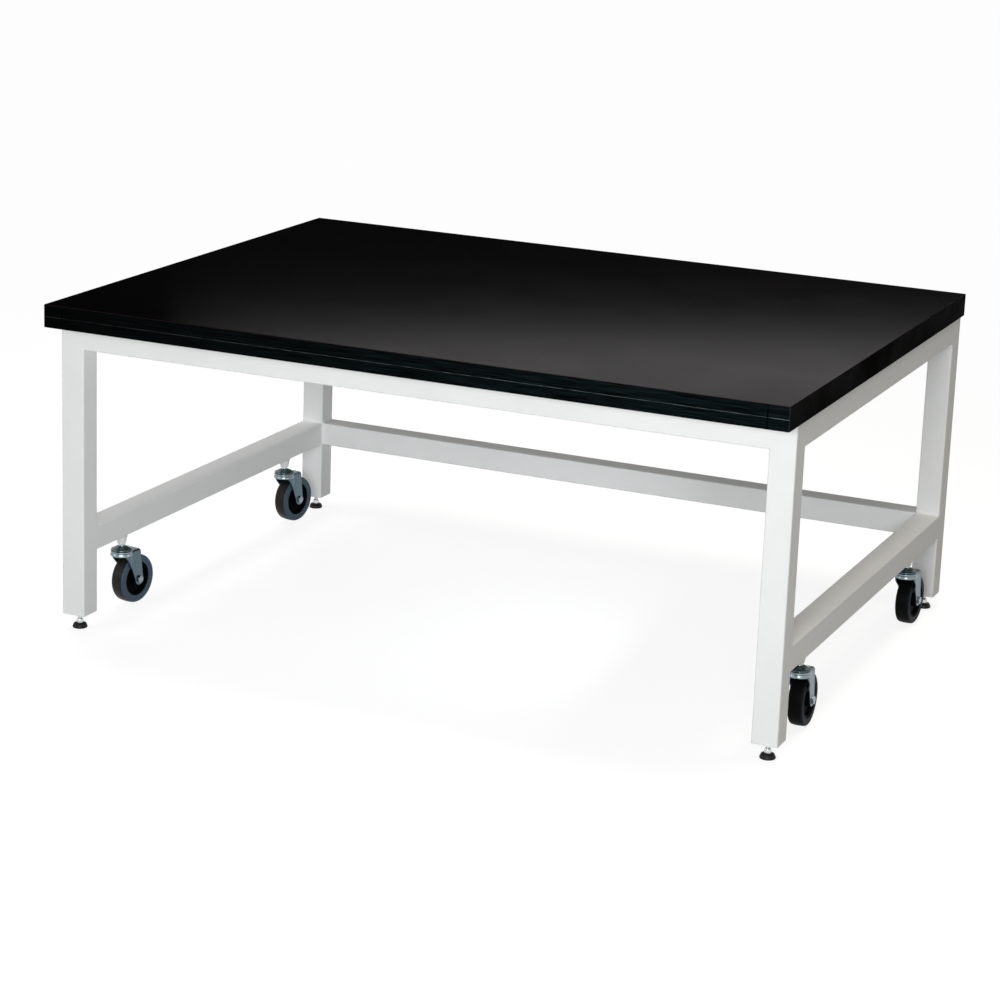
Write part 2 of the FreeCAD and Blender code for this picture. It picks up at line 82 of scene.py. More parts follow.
def own_finish(name, colour, roughness, grain_size, relief, drift_share, metallic=0.0, shine=0.5,
               stretch=(1, 1, 1)):
    """A finish laid on in the piece's own coordinates. A slow cloud makes the colour wander by the drift
    share either way and the roughness by twice that, and a fine noise of the grain's size gives relief.
    Shine is the strength of the mirror reflection, where 0.5 is a plain varnish."""
    material = bpy.data.materials.new(name)
    material.use_nodes = True
    tree = material.node_tree
    where = add_node(tree, "TexCoord", {}, name="where").outputs["Object"]
    cloud = add_node(tree, "TexNoise", {"Vector": where, "Scale": 1 / cloud_size, "Detail": cloud_detail})
    tone = add_node(tree, "ValToRGB", {"Fac": cloud.outputs["Fac"]}, name="tone")
    for stop, position, way in zip(tone.color_ramp.elements, cloud_range, (-1, 1)):
        stop.position = position
        stop.color = [c * (1 + way * drift_share) for c in colour] + [1]
    gloss = add_node(tree, "MapRange", {"Value": cloud.outputs["Fac"], "From Min": cloud_range[0],
                                        "From Max": cloud_range[1],
                                        "To Min": roughness * (1 - 2 * drift_share),
                                        "To Max": roughness * (1 + 2 * drift_share)})
    drawn = add_node(tree, "Mapping", {"Vector": where, "Scale": stretch})
    grain = add_node(tree, "TexNoise", {"Vector": drawn.outputs["Vector"], "Scale": 1 / grain_size,
                                        "Detail": grain_detail}, name="grain")
    bump = add_node(tree, "Bump", {"Height": grain.outputs["Fac"], "Distance": relief})
    shader = tree.nodes["Principled BSDF"]
    shader.inputs["Metallic"].default_value = metallic
    shader.inputs["Specular IOR Level"].default_value = shine
    tree.links.new(tone.outputs["Color"], shader.inputs["Base Color"])
    tree.links.new(gloss.outputs["Result"], shader.inputs["Roughness"])
    tree.links.new(bump.outputs["Normal"], shader.inputs["Normal"])
    return material


def dress(material, *nodes):
    """Puts a material on the solids of these nodes, whose shapes stay."""
    for node in nodes:
        for slot in frame["nodes"][node].material_slots:
            slot.material = material


def make_piece(name, shells, *materials):
    """Joins grids of points into one closed mesh. A grid is rows by columns by three, and each point is
    linked to the next in its row and its column; the last column meets the first. Rows whose points fall
    together close as a fan. Faces that meet at a blunt angle are shaded as one. With several materials,
    each grid takes its own, and the last one serves the rest."""
    points = []
    faces = []
    finishes = []
    start = 0
    for order, grid in enumerate(shells):
        rows, columns = grid.shape[:2]
        here = start + np.arange(rows * columns).reshape(rows, columns)
        after = np.roll(here, -1, axis=1)
        faces.append(np.stack([here[:-1], after[:-1], after[1:], here[1:]], axis=-1).reshape(-1, 4))
        finishes.append(np.full(len(faces[-1]), min(order, len(materials) - 1)))
        points.append(grid.reshape(-1, 3))
        start += rows * columns
    mesh = bpy.data.meshes.new(name)
    mesh.from_pydata(np.concatenate(points).tolist(), [], np.concatenate(faces).tolist())
    for material in materials:
        mesh.materials.append(material)
    mesh.polygons.foreach_set("material_index", np.concatenate(finishes))
    work = bmesh.new()
    work.from_mesh(mesh)
    bmesh.ops.remove_doubles(work, verts=work.verts, dist=merge_distance)
    bmesh.ops.dissolve_degenerate(work, dist=sliver_length, edges=work.edges)
    bmesh.ops.recalc_face_normals(work, faces=work.faces)
    work.to_mesh(mesh)
    work.free()
    mesh.polygons.foreach_set("use_smooth", np.ones(len(mesh.polygons), bool))
    mesh.set_sharp_from_angle(angle=smooth_up_to)
    piece = bpy.data.objects.new(name, mesh)
    bpy.context.scene.collection.objects.link(piece)
    even = piece.modifiers.new("even_shading", "WEIGHTED_NORMAL")
    even.keep_sharp = True
    return piece


frame_paint = own_finish("frame_paint", paint_colour, roughness=0.58, grain_size=0.0022, relief=0.00006,
                         drift_share=0.02, shine=paint_shine)
corner_names = ["front_left", "front_right", "back_left", "back_right"]
rail_names = ["upper_rail_front", "upper_rail_back", "upper_rail_left", "upper_rail_right",
              "lower_rail_left", "lower_rail_right", "lower_rail_back"]
dress(frame_paint, *["leg_" + corner for corner in corner_names], *rail_names)


# The welds: each rail end is welded all round to its leg. Where two faces are flush the weld fills the
# groove beside the leg's round corner and is ground level; in the inside corners it stays a small bead.
tube_corner = 0.0025
bead_size = 0.0032
bead_hollow_share = 0.75
bead_arc_points = 7
bead_ripple = 0.00022
bead_ripple_length = 0.0024
bead_step = 0.0006
fewest_bead_steps = 8
ground_weld_steps = 12


def weld_run(start, end, first, second):
    """A weld along the line from start to end, in the corner between two directions. Its section runs from
    the corner out along the first direction, over a hollow arc and back along the second. The arc is a
    share of a quarter circle, 1 - sin t and 1 - cos t, and the rest a straight line. A sine makes it rise
    and fall along the run, and both ends shrink to the corner by a square root."""
    start, end, first, second = (np.array(v, float) for v in (start, end, first, second))
    length = np.linalg.norm(end - start)
    along = np.linspace(0, 1, max(fewest_bead_steps, int(length / bead_step)))
    ends = np.minimum(1, np.minimum(along, 1 - along) * length / bead_size) ** 0.5
    wave = 1 + bead_ripple / bead_size * np.sin(2 * np.pi * along * length / bead_ripple_length)
    turn = np.linspace(0, np.pi / 2, bead_arc_points)
    share = turn / (np.pi / 2)
    straight = 1 - bead_hollow_share
    across = 1 - np.sin(turn) * bead_hollow_share - straight * share
    beside = 1 - np.cos(turn) * bead_hollow_share - straight * (1 - share)
    reach = bead_size * (ends * wave)[:, None, None]
    arc = across[None, :, None] * first + beside[None, :, None] * second
    spine = start + along[:, None, None] * (end - start)
    return np.concatenate([spine, spine + reach * arc], axis=1)


def ground_weld(start, end, first, second):
    """The level fill of a groove: a three-cornered bar whose square corner lies on the line from start to
    end, and whose two short sides run one tube corner's radius along the two directions."""
    start, end, first, second = (np.array(v, float) for v in (start, end, first, second))
    line = np.linspace(0, 1, ground_weld_steps)[:, None, None]
    spine = start + line * (end - start)
    section = np.stack([0 * first, tube_corner * first, tube_corner * second])
    bar = spine + section[None]
    tips = np.repeat(spine[[0, -1]], 3, axis=1)
    return np.concatenate([tips[:1], bar, tips[1:]])


def frame_welds():
    """Every weld at a rail's end, found from the rails' boxes: a ground one on the outer face, and on the
    inner one too where no other rail meets the leg, and beads above and below, but none under the board."""
    grooves = []
    beads = []
    board_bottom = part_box("lower_board")[0].z
    for rail in rail_names:
        legs = [corner for corner in corner_names if rail.split("_")[-1] in corner]
        low, high = (np.array(corner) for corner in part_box(rail))
        run = 0 if high[0] - low[0] > high[1] - low[1] else 1
        side = 1 - run
        for leg, edge, inward in ((legs[0], low[run], 1), (legs[1], high[run], -1)):
            into = np.zeros(3)
            into[run] = inward
            for face, out in ((low[side], -1), (high[side], 1)):
                away = np.zeros(3)
                away[side] = -out
                bottom = np.zeros(3)
                bottom[run] = edge
                bottom[side] = face
                top = bottom.copy()
                bottom[2] = low[2] + tube_corner
                top[2] = high[2] - tube_corner
                lone_rail = rail.startswith("lower") and leg.startswith("front")
                if face * out > 0 or lone_rail:
                    grooves.append(ground_weld(bottom, top, away, -into))
            for height, up in ((low[2], -1), (high[2], 1)):
                if height > board_bottom - bead_size:
                    continue
                start = np.zeros(3)
                start[run] = edge
                start[2] = height
                end = start.copy()
                start[side] = low[side] + tube_corner
                end[side] = high[side] - tube_corner
                beads.append(weld_run(start, end, [0, 0, up], into))
    return grooves, beads


def inside_corner_welds():
    """The upright beads where two rails meet beside the same leg, inside the frame."""
    beads = []
    for corner in corner_names:
        end, side = corner.split("_")
        leg_low, leg_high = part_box("leg_" + corner)
        x, right = (leg_high.x, 1) if side == "left" else (leg_low.x, -1)
        y, back = (leg_high.y, 1) if end == "front" else (leg_low.y, -1)
        for rail in [rail for rail in rail_names if rail.endswith(end)]:
            low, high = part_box(rail)
            beads.append(weld_run([x, y, low.z + tube_corner], [x, y, high.z - tube_corner],
                                  [right, 0, 0], [0, back, 0]))
    return beads


grooves, rail_beads = frame_welds()
ground_welds = make_piece("ground_welds", grooves, frame_paint)
weld_beads = make_piece("weld_beads", rail_beads + inside_corner_welds(), frame_paint)
for welds in (ground_welds, weld_beads):
    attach(welds, "frame")


# The plates in the legs' lower ends: flat steel squares with a threaded boss, welded in and painted with
# the frame, in a slightly darker finish.
plate_paint = own_finish("plate_paint", (0.66, 0.67, 0.67), roughness=0.5, grain_size=0.0016,
                         relief=0.00005, drift_share=0.06, shine=paint_shine)
dress(plate_paint, "leg_end_plates")


# The feet's pads: black rubber moulded round the end of the stud, with a flared rim, a domed top and a
# dull skin. The stand's weight rests on them, and they keep it from sliding.
pad_base_radius = 0.0112
pad_rim_radius = 0.0121
pad_rim_height = 0.0010
pad_flare = (0.0115, 0.0032)
pad_waist = (0.0110, 0.0047)
pad_shoulder = (0.0096, 0.0074)
pad_top_radius = 0.0068
pad_height = 0.0085
pad_ease = 0.0006
dome_ease = 0.0022
longest_ease_share = 0.45
ease_points = 6
turning_sides = 64


def eased(outline, ease):
    """An outline of straight runs with its corners eased. Beside corner C the line is the parabola
    (1 - t)^2 A + 2 t (1 - t) C + t^2 B, where A and B lie on the two runs, at the ease distance or
    at a share of the run if that is less. Its two ends stay as they are."""
    points = np.array(outline, float)
    corner = points[1:-1]
    before = points[:-2] - corner
    after = points[2:] - corner
    ease = np.broadcast_to(ease, len(corner))
    before_length = np.linalg.norm(before, axis=1)
    after_length = np.linalg.norm(after, axis=1)
    a = corner + before * np.minimum(ease / before_length, longest_ease_share)[:, None]
    b = corner + after * np.minimum(ease / after_length, longest_ease_share)[:, None]
    t = np.linspace(0, 1, ease_points)[None, :, None]
    bends = (1 - t) ** 2 * a[:, None] + 2 * t * (1 - t) * corner[:, None] + t ** 2 * b[:, None]
    return np.concatenate([points[:1], bends.reshape(-1, 2), points[-1:]])


def eased_ring(outline, ease):
    """The same for an outline that closes on itself, as round a bore."""
    loop = np.array(outline[-1:] + outline + outline[:1], float)
    bends = eased(loop, ease)[1:-1]
    return np.concatenate([bends, bends[:1]])


def divided(outline, step):
    """The same outline with more points: its corners, and one point at every step of its length."""
    outline = np.array(outline, float)
    lengths = np.concatenate([[0], np.cumsum(np.linalg.norm(np.diff(outline, axis=0), axis=1))])
    stops = np.union1d(lengths, np.arange(0, lengths[-1], step))
    return np.stack([np.interp(stops, lengths, outline[:, k]) for k in (0, 1)], axis=1)


def round_line(angle, radius, height, place):
    """Points round the upright line at place: x = r cos a, y = r sin a."""
    return np.stack([radius * np.cos(angle), radius * np.sin(angle), height + 0 * angle], axis=-1) + place


def turned(outline, place=(0, 0, 0), sides=turning_sides):
    """A (radius, height) outline turned round the upright line at place."""
    angle = np.linspace(0, 2 * np.pi, sides, endpoint=False)
    return round_line(angle, outline[:, :1], outline[:, 1:], place)


foot_rubber = own_finish("foot_rubber", (0.0045, 0.0045, 0.005), roughness=0.42, grain_size=0.0011,
                         relief=0.00007, drift_share=0.25, shine=0.2)
pad_outline = [(0, 0), (pad_base_radius, 0), (pad_rim_radius, pad_rim_height), pad_flare, pad_waist,
               pad_shoulder, (pad_top_radius, pad_height), (0, pad_height)]
pad_eases = [pad_ease] * 2 + [dome_ease] * 4
for corner in corner_names:
    low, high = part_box("foot_pad_" + corner)
    centre = ((low.x + high.x) / 2, (low.y + high.y) / 2, low.z)
    pad = make_piece("rubber_pad_" + corner, [turned(eased(pad_outline, pad_eases), centre)], foot_rubber)
    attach(pad, "foot_" + corner)
    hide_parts("foot_pad_" + corner)


# The feet's studs: M6 steel rod with a hexagonal collar that narrows to a cone, zinc plated bright. The
# thread runs from the collar up into the leg.
stud_radius = 0.003
stud_core_radius = 0.00245
stud_pitch = 0.001
collar_flats = 0.010
collar_height = 0.0075
collar_cone_height = 0.0035
collar_top_radius = 0.0039
collar_bevel = 0.0004
collar_top_bevel = 0.0003
hexagon_sides = 96
hexagon_corner_share = 0.975
thread_rows = 6
thread_sides = 24
thread_flat = 1.35
thread_slope = 1.6


def hexagon_radius(angle, flats):
    """A hexagon's radius: half the flats' distance over cos b, with b the angle from the nearest flat."""
    from_flat = (angle + np.pi / 6) % (np.pi / 3) - np.pi / 6
    return flats / 2 / np.cos(from_flat)


def hexagonal(outline, flats, place=(0, 0, 0)):
    """A turned outline held inside a hexagon: the radius is the least of the outline's, of the hexagon's
    and of a share of its corner's radius, which blunts the corners."""
    angle = np.linspace(0, 2 * np.pi, hexagon_sides, endpoint=False)
    limit = np.minimum(hexagon_radius(angle, flats), hexagon_corner_share * flats / math.sqrt(3))
    return round_line(angle, np.minimum(outline[:, :1], limit), outline[:, 1:], place)


def threaded(core, crest, pitch, low, high, place, sides=thread_sides):
    """A threaded rod: the radius falls from crest to core by a triangle wave of height / pitch less
    a / (2 pi), cut flat at the crest and the root, so the ridge winds round. The thread runs out one pitch
    from each end, and both ends close."""
    angle = np.linspace(0, 2 * np.pi, sides, endpoint=False)
    height = np.linspace(low, high, int((high - low) / pitch * thread_rows))[:, None]
    wave = np.abs((height / pitch - angle / (2 * np.pi)) % 1 * 2 - 1)
    run_out = np.clip(np.minimum(height - low, high - height) / pitch, 0, 1)
    radius = core + (crest - core) * np.clip(thread_flat - thread_slope * wave, 0, 1) * run_out
    rod = round_line(angle, radius, height, (0, 0, 0))
    return np.concatenate([rod[:1] * [0, 0, 1], rod, rod[-1:] * [0, 0, 1]]) + place


stud_zinc = own_finish("stud_zinc", (0.60, 0.62, 0.63), roughness=0.27, grain_size=0.0012, relief=0.00001,
                       drift_share=0.08, metallic=1.0)
collar_corner = collar_flats / math.sqrt(3)
collar_outline = [(0, 0), (collar_corner - collar_bevel, 0), (collar_corner, collar_bevel),
                  (collar_corner, collar_height - collar_cone_height),
                  (collar_top_radius, collar_height - collar_top_bevel),
                  (collar_top_radius - collar_top_bevel, collar_height), (0, collar_height)]
for corner in corner_names:
    low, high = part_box("foot_stud_" + corner)
    pad_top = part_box("foot_pad_" + corner)[1].z
    centre = np.array([(low.x + high.x) / 2, (low.y + high.y) / 2, 0])
    collar = hexagonal(divided(collar_outline, collar_bevel), collar_flats, centre + [0, 0, pad_top])
    rod = threaded(stud_core_radius, stud_radius, stud_pitch, low.z, high.z, centre)
    stud = make_piece("threaded_stud_" + corner, [collar, rod], stud_zinc)
    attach(stud, "foot_" + corner)
    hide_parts("foot_stud_" + corner)


# The caster bosses: tall hexagonal weld nuts, turned to a cone at the lower end, fillet welded to the
# underside of the side rails and painted with them.
boss_flats = 0.017
boss_cone_height = 0.014
boss_cone_end_radius = 0.0066
boss_lip_width = 0.0002
boss_lip_height = 0.0003
boss_thread_radius = 0.00505
boss_thread_bevel = 0.0008
boss_bead_size = 0.0026
boss_bead_sides = 240
boss_bead_out = (-0.3, 0.12, 0.3, 0.5, 0.72, 1.0, 0.9, -0.3)
boss_bead_down = (1.0, 0.86, 0.56, 0.34, 0.15, 0.0, -0.1, -0.1)
boss_ripple_share = 0.09
boss_ripples = 34
boss_sway_share = 0.06
boss_sways = 5
boss_outline_step = 0.0005
joints = {joint["name"]: joint for joint in frame["joints"]}


def caster_place(corner):
    """Where a caster's swivel axis stands, from its joint."""
    x, y = joints["caster_" + corner + "_swivel"]["pos_m"][:2]
    return np.array([x, y, 0.0])


def boss_weld(place, height):
    """The bead round a boss's top: a hollow section, from shares of its reach out and down, carried round
    the hexagon. Two sines of the angle make the reach ripple and sway."""
    angle = np.linspace(0, 2 * np.pi, boss_bead_sides, endpoint=False)
    out = np.array(boss_bead_out)[:, None]
    down = np.array(boss_bead_down)[:, None]
    reach = boss_bead_size * (1 + boss_ripple_share * np.sin(boss_ripples * angle)
                              + boss_sway_share * np.sin(boss_sways * angle))
    ring = round_line(angle, hexagon_radius(angle, boss_flats) + out * reach, height - down * reach, place)
    return np.concatenate([ring, ring[:1]])


boss_paint = own_finish("boss_paint", (0.80, 0.815, 0.81), roughness=0.40, grain_size=0.0016,
                        relief=0.00005, drift_share=0.03, shine=paint_shine)
boss_low, boss_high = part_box("caster_bosses")
boss_height = boss_high.z - boss_low.z
boss_corner = boss_flats / math.sqrt(3)
boss_outline = [(boss_thread_radius, boss_thread_bevel), (boss_thread_radius + boss_thread_bevel, 0),
                (boss_cone_end_radius, 0), (boss_cone_end_radius + boss_lip_width, boss_lip_height),
                (boss_corner, boss_cone_height), (boss_corner, boss_height),
                (boss_thread_radius, boss_height)]
bosses = []
for corner in corner_names:
    foot_of_boss = caster_place(corner) + [0, 0, boss_low.z]
    outline = divided(boss_outline + boss_outline[:1], boss_outline_step)
    bosses += [hexagonal(outline, boss_flats, foot_of_boss), boss_weld(caster_place(corner), boss_high.z)]
welded_bosses = make_piece("welded_bosses", bosses, boss_paint)
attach(welded_bosses, "frame")
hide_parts("caster_bosses")


# The caster stems: M10 steel, screwed up into the bosses, passing down through the cap and the fork to a
# head that was spun over to hold the caster together. Zinc plated.
stem_radius = 0.005
stem_core_radius = 0.0042
stem_pitch = 0.0015
stem_thread_sides = 32
kingpin_radius = 0.0085
kingpin_height = 0.003
kingpin_base_radius = 0.0057
kingpin_edge_height = 0.0017
kingpin_ease = 0.0006
stem_overlap = 0.001

stem_zinc = own_finish("stem_zinc", (0.62, 0.69, 0.70), roughness=0.24, grain_size=0.0011, relief=0.00001,
                       drift_share=0.08, metallic=1.0)
stem_low, stem_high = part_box("caster_stems")
thread_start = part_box("caster_caps")[1].z - stem_overlap
plain_length = thread_start - stem_low.z
kingpin_outline = [(0, 0), (kingpin_base_radius, 0), (kingpin_radius, kingpin_edge_height),
                   (kingpin_radius, kingpin_height), (stem_radius, kingpin_height),
                   (stem_radius, plain_length), (0, plain_length)]
stems = []
for corner in corner_names:
    stem_foot = caster_place(corner) + [0, 0, stem_low.z]
    stems += [turned(eased(kingpin_outline, kingpin_ease), stem_foot),
              threaded(stem_core_radius, stem_radius, stem_pitch, thread_start - stem_overlap, stem_high.z,
                       caster_place(corner), sides=stem_thread_sides)]
threaded_stems = make_piece("threaded_stems", stems, stem_zinc)
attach(threaded_stems, "frame")
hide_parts("caster_stems")


# The caps over the ball races: pressed steel with a rolled edge and a low cone up to the stem, bright-dipped
# zinc whose colour is painted dark as the shade it reflects, and the ring of polished balls beneath them.
cap_radius = 0.0174
cap_flange = 0.002
cap_edge_inset = 0.0004
cap_edge_ease = 0.0006
cap_race_depth = 0.0016
cap_race_inner = 0.0095
cap_race_outer = 0.0156
cap_cone_radius = 0.0156
cap_cone_foot = 0.0003
cap_cone_top_radius = 0.0066
cap_bore = 0.00505
cap_ease = 0.0005

# The dark colour is painted shade: bright zinc set dark to stand for the shaded surroundings it reflects.
cap_zinc = own_finish("cap_zinc", (0.085, 0.120, 0.130), roughness=0.20, grain_size=0.002, relief=0.00002,
                      drift_share=0.10, metallic=1.0)
cap_low, cap_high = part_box("caster_caps")
flange_low = cap_low.z + cap_race_depth
flange_high = flange_low + cap_flange
cap_outline = [(cap_bore, cap_high.z), (cap_cone_top_radius, cap_high.z),
               (cap_cone_radius, flange_high + cap_cone_foot), (cap_radius - cap_edge_inset, flange_high),
               (cap_radius, flange_high - cap_edge_ease),
               (cap_radius, flange_low), (cap_race_outer, flange_low), (cap_race_outer, cap_low.z),
               (cap_race_inner, cap_low.z), (cap_race_inner, flange_low), (cap_bore, flange_low)]
caps = [turned(eased_ring(cap_outline, cap_ease), caster_place(corner)) for corner in corner_names]
pressed_caps = make_piece("pressed_caps", caps, cap_zinc)
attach(pressed_caps, "frame")
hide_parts("caster_caps")
ball_steel = own_finish("ball_steel", (0.56, 0.56, 0.57), roughness=0.12, grain_size=0.0008,
                        relief=0.000004, drift_share=0.08, metallic=1.0)
dress(ball_steel, "caster_bearing_balls")


# The forks: each is pressed from one 2.2 mm sheet. Two legs come down beside the wheel from a round crown,
# a gusset runs from the crown's front into each leg and is set back behind a crease, and the shoulder
# behind the crown stands up. The crown's wall has one rolled groove. Zinc with a bluish passivation; the
# sheet's colour is painted dark as the reflected shade of its surroundings, and the crown's is painted
# lighter as a highlight.
sheet = 0.0022
sheet_edge = 0.0004
most_edge_share = 0.3
least_width = 1e-9
fork_half_width = 0.0153
bend_radius = 0.0040
tip_radius = 0.0095
tip_rows = 12
leg_rows = 40
bend_rows = 9
flat_rows = 8
gusset_columns = 16
leg_columns = 20
leg_front_at_waist = 0.0098
leg_back_at_top = 0.0300
gusset_front = -0.0098
gusset_drop = 0.0270
gusset_curve = 1.15
gusset_setback = 0.0009
gusset_fade = (-0.006, 0.004)
crease_width = 0.0009
plate_front_inset = 0.0015
plate_front_fade = (0.0002, 0.0030)
flare_fade = (-0.002, 0.016)
shoulder_rise = 0.0028
shoulder_run = 0.0022
shoulder_back = (0.007, 0.012)
shoulder_depth = 0.012
crown_radius = 0.0185
crown_wall = 0.0022
crown_wall_height = 0.0050
crown_drop = 0.0044
crown_floor_rise = 0.0001
crown_top_drop = 0.0004
crown_top_bevel = 0.0007
crown_foot_bevel = 0.0012
crown_belly = 0.0011
crown_belly_height = 0.0026
crown_belly_inset = 0.0001
crown_groove_place = 0.0014
crown_groove_heights = (-0.0005, -0.0001, 0.0002, 0.0008)
crown_groove_depth = 0.0005
crown_lip = 0.0005
crown_hole_radius = 0.0051
crown_ease = 0.0008
crown_sides = 96


def caster_frame(corner):
    """A caster's own frame: its swivel place, and the matrix whose rows are its axle direction, its
    trailing direction and up. Its trail and axle height are those of the wheel's joint."""
    wheel = joints["wheel_" + corner + "_spin"]
    across, along = np.array(wheel["axis"][:2]) / np.linalg.norm(wheel["axis"][:2])
    rows = np.array([[across, along, 0], [-along, across, 0], [0, 0, 1]])
    axle = (np.array(wheel["pos_m"]) - caster_place(corner)) @ rows.T
    return caster_place(corner), rows, axle[1], axle[2]


def smooth(value, low, high):
    """A smooth step from 0 at low to 1 at high: 3 t^2 - 2 t^3."""
    t = np.clip((value - low) / (high - low), 0, 1)
    return t * t * (3 - 2 * t)


def fork_sheet(trail, axle_height, plate_top):
    """The pressed sheet as a closed skin. Rows follow its section from one tip up the leg, round the bend
    and over the top to the other tip; columns go round the sheet, out along its outer face, over the
    sheared edge and back inside. The legs' front and back edges are functions of height: the root of
    r^2 - h^2 round the tip, straight lines above it, and a power of the height in the gusset. The least
    width keeps the fold finite where the tip ends in a point. Smooth steps add the crown's flare, the
    gusset's setback and the shoulder's rise."""
    bend_start = plate_top - bend_radius
    tip = axle_height - tip_radius * np.cos(np.linspace(0, np.pi / 2, tip_rows))
    leg = np.linspace(axle_height, bend_start, leg_rows)[1:]
    bend = np.linspace(0, np.pi / 2, bend_rows)[1:]
    flat = np.linspace(1, 0, flat_rows)[1:] * (fork_half_width - bend_radius)
    straight = len(tip) + len(leg)
    x = np.concatenate([np.full(straight, fork_half_width),
                        fork_half_width - bend_radius + bend_radius * np.cos(bend), flat])
    z = np.concatenate([tip, leg, bend_start + bend_radius * np.sin(bend), np.full(len(flat), plate_top)])
    out_x = np.concatenate([np.ones(straight), np.cos(bend), np.zeros(len(flat))])
    out_z = np.concatenate([np.zeros(straight), np.sin(bend), np.ones(len(flat))])
    plate_bottom = plate_top - sheet
    waist = plate_bottom - gusset_drop
    round_tip = np.sqrt(np.clip(tip_radius ** 2 - np.clip(axle_height - z, 0, None) ** 2, 0, None))
    up_leg = np.clip((z - axle_height) / (plate_top - axle_height), 0, 1)
    back = trail + round_tip + (leg_back_at_top - trail - tip_radius) * up_leg
    to_waist = np.clip((z - axle_height) / (waist - axle_height), 0, 1)
    to_crown = np.clip((z - waist) / gusset_drop, 0, 1) ** gusset_curve
    front = trail - round_tip + (leg_front_at_waist - trail + tip_radius) * to_waist
    front = front + (gusset_front - leg_front_at_waist) * to_crown
    ring = np.sqrt(np.clip((crown_radius - plate_front_inset) ** 2 - x ** 2, 0, None))
    front = front + (ring - front) * smooth(bend_radius - (plate_top - z), *plate_front_fade)
    crease = np.clip(leg_front_at_waist, front, back)
    to_crease = np.linspace(0, 1, gusset_columns)
    to_back = np.linspace(0, 1, leg_columns)[1:]
    fold = np.clip((crease - front) / np.maximum(back - front, least_width), 0, 1)[:, None]
    across = np.concatenate([to_crease * fold, fold + to_back * (1 - fold)], axis=1)
    across = np.concatenate([across, 1 + 0 * fold, 1 + 0 * fold, across[:, ::-1], 0 * fold, 0 * fold], axis=1)
    skin = np.zeros(len(to_crease) + len(to_back))
    over = np.concatenate([skin, [1, 1], skin, [-1, -1]])
    outer_edge = sheet_edge / sheet
    inner_edge = 1 - sheet_edge / sheet
    inside = np.concatenate([skin, [outer_edge, inner_edge], skin + 1, [inner_edge, outer_edge]])
    width = (back - front)[:, None]
    edge = np.minimum(sheet_edge, most_edge_share * width)
    y = front[:, None] + edge + across * (width - 2 * edge) + over * edge
    depth = sheet * inside
    x = x[:, None]
    z = z[:, None]
    round_crown = np.sqrt(np.clip(crown_radius ** 2 - y ** 2, fork_half_width ** 2, None)) - fork_half_width
    flare = round_crown * smooth(z, waist + flare_fade[0], waist + flare_fade[1])
    behind_crease = 1 - smooth(y, leg_front_at_waist - crease_width, leg_front_at_waist)
    setback = gusset_setback * behind_crease * smooth(z, waist + gusset_fade[0], waist + gusset_fade[1])
    rise = (shoulder_rise * smooth(np.hypot(x, y), crown_radius - shoulder_run, crown_radius)
            * smooth(y, *shoulder_back) * smooth(z, plate_top - shoulder_depth, plate_top))
    half = np.stack([x - out_x[:, None] * (depth + setback) + flare, y,
                     z - out_z[:, None] * depth + rise], axis=-1)
    other = half[-2::-1] * [-1, 1, 1]
    return np.concatenate([half, other])


def fork_crown(plate_top):
    """The crown's section, to be turned round the swivel's line: a floor under the balls, and a wall that
    bellies out below its groove."""
    bottom = plate_top - crown_drop
    floor = plate_top + crown_floor_rise
    top = plate_top + crown_wall_height - crown_top_drop
    belly_top, groove_low, groove_high, lip = (plate_top + crown_groove_place + height
                                               for height in crown_groove_heights)
    upper = crown_radius - crown_lip
    inner = crown_radius - crown_wall
    neck = crown_radius - crown_belly
    groove_bottom = neck - crown_groove_depth
    return eased_ring([(crown_hole_radius, bottom), (crown_radius - crown_foot_bevel, bottom),
                       (crown_radius, bottom + crown_foot_bevel),
                       (crown_radius - crown_belly_inset, bottom + crown_belly_height), (neck, belly_top),
                       (groove_bottom, groove_low), (groove_bottom, groove_high), (upper, lip),
                       (upper, top - crown_top_bevel), (upper - crown_ease, top), (inner, top),
                       (inner, floor), (crown_hole_radius, floor)], crown_ease)


# The legs' dark colour is painted shade reflected in the zinc; the crown's lighter colour is a painted
# highlight.
fork_zinc = own_finish("fork_zinc", (0.100, 0.145, 0.175), roughness=0.30, grain_size=0.003, relief=0.00003,
                       drift_share=0.14, metallic=1.0)
crown_zinc_with_painted_highlight = own_finish("crown_zinc_with_painted_highlight", (0.235, 0.290, 0.315), roughness=0.33, grain_size=0.003,
                        relief=0.00002, drift_share=0.12, metallic=1.0)
for corner in corner_names:
    place, rows, trail, axle_height = caster_frame(corner)
    plate_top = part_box("fork_" + corner)[1].z - crown_wall_height
    skin = fork_sheet(trail, axle_height, plate_top) @ rows + place
    crown = turned(fork_crown(plate_top), place, sides=crown_sides)
    fork = make_piece("pressed_fork_" + corner, [skin, crown], fork_zinc, crown_zinc_with_painted_highlight)
    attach(fork, "swivel_" + corner)
    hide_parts("fork_" + corner)


# The axles: a steel bolt with a hexagonal head through both fork legs and a plain sleeve between them, and
# a nut drawn up on the leg at the right. Head and nut are chamfered at both ends. Zinc plated, its colour
# painted darker than bright zinc as the shade that the flanks reflect.
axle_radius = 0.004
axle_flats = 0.0114
head_height = 0.005
nut_height = 0.0032
nut_clearance = 0.00008
bolt_end = 0.0004
hex_chamfer = 0.0009
bore_bevel = 0.0003
hex_step = 0.0003


def hex_outline(height, bore):
    """The outline of a nut or head: a bore or none, and corners chamfered at thirty degrees."""
    corner = axle_flats / math.sqrt(3)
    drop = hex_chamfer / math.sqrt(3)
    return [(bore, 0), (corner - hex_chamfer, 0), (corner, drop), (corner, height - drop),
            (corner - hex_chamfer, height), (bore + bore_bevel, height), (bore, height - bore_bevel)]


